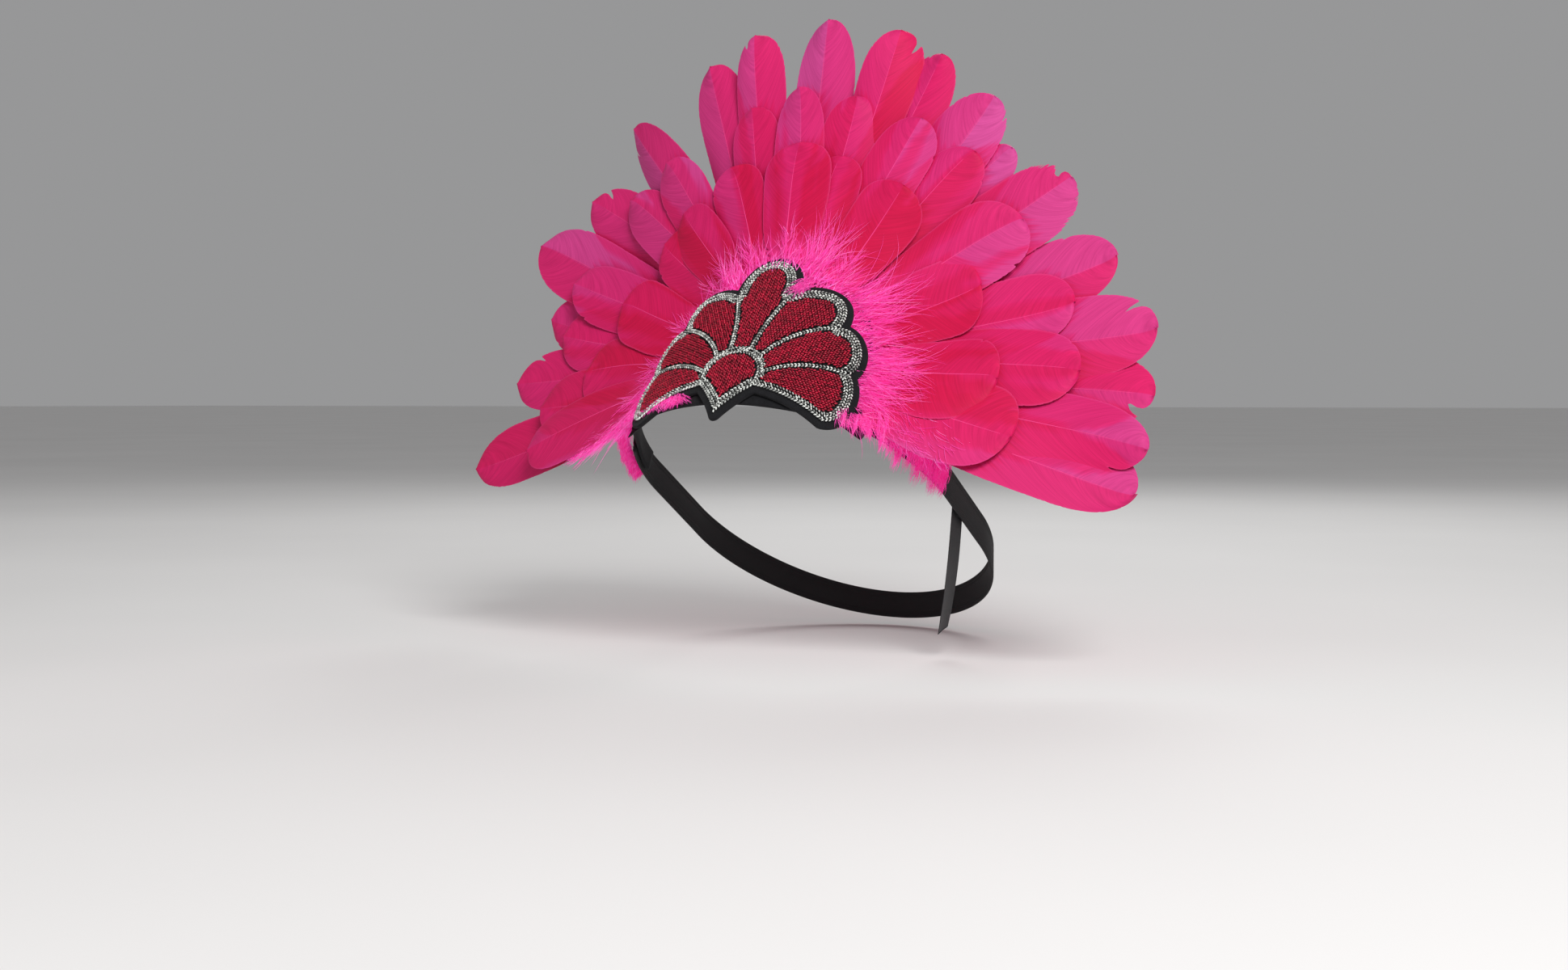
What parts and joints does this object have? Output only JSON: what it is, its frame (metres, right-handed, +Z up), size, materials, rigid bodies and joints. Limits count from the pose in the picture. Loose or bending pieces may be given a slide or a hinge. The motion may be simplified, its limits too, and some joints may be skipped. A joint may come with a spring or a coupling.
{
  "type": "carnival feather headdress",
  "caption": "Felt headdress worn across the forehead, with a fan of hot pink feathers round a beaded palmette medallion, an elastic strap behind the head and a short ribbon tail.",
  "frame": {"origin": "middle of the head opening, where the wearer's head sits in the band and strap", "axes": "+Z up along the wearer's head, the wearer faces -Y, +X towards the wearer's left hand"},
  "size_m": [0.3414, 0.1921, 0.2868],
  "materials": {
    "felt": "matte black felt",
    "elastic": "ribbed black elastic",
    "ribbon": "black ribbon with a slight sheen",
    "feather": "dyed hot pink feather, thin and slightly translucent",
    "down": "loose dyed down",
    "red_beads": "rows of small crimson beads",
    "silver_trim": "rows of dull silver beads"
  },
  "bodies": {
    "root": {"crown_base": "felt", "head_strap": "elastic", "ribbon_tail": "ribbon", "feather_outer_01": "feather", "feather_outer_02": "feather", "feather_outer_03": "feather", "feather_outer_04": "feather", "feather_outer_05": "feather", "feather_outer_06": "feather", "feather_outer_07": "feather", "feather_outer_08": "feather", "feather_outer_09": "feather", "feather_outer_10": "feather", "feather_outer_11": "feather", "feather_outer_12": "feather", "feather_outer_13": "feather", "feather_outer_14": "feather", "feather_outer_15": "feather", "feather_outer_16": "feather", "feather_outer_17": "feather", "feather_outer_18": "feather", "feather_outer_19": "feather", "feather_middle_01": "feather", "feather_middle_02": "feather", "feather_middle_03": "feather", "feather_middle_04": "feather", "feather_middle_05": "feather", "feather_middle_06": "feather", "feather_middle_07": "feather", "feather_middle_08": "feather", "feather_middle_09": "feather", "feather_middle_10": "feather", "feather_middle_11": "feather", "feather_middle_12": "feather", "feather_middle_13": "feather", "feather_inner_01": "feather", "feather_inner_02": "feather", "feather_inner_03": "feather", "feather_inner_04": "feather", "feather_inner_05": "feather", "feather_inner_06": "feather", "feather_inner_07": "feather", "feather_inner_08": "feather", "feather_inner_09": "feather", "feather_inner_10": "feather", "feather_inner_11": "feather", "feather_inner_12": "feather", "down_fringe_left": "down", "down_fringe_right": "down", "medallion_backing": "felt", "petal_top": "red_beads", "petal_upper_left": "red_beads", "petal_upper_right": "red_beads", "petal_mid_left": "red_beads", "petal_mid_right": "red_beads", "petal_lower_left": "red_beads", "petal_lower_right": "red_beads", "petal_heart": "red_beads", "silver_trim": "silver_trim"}
  },
  "joints": []
}
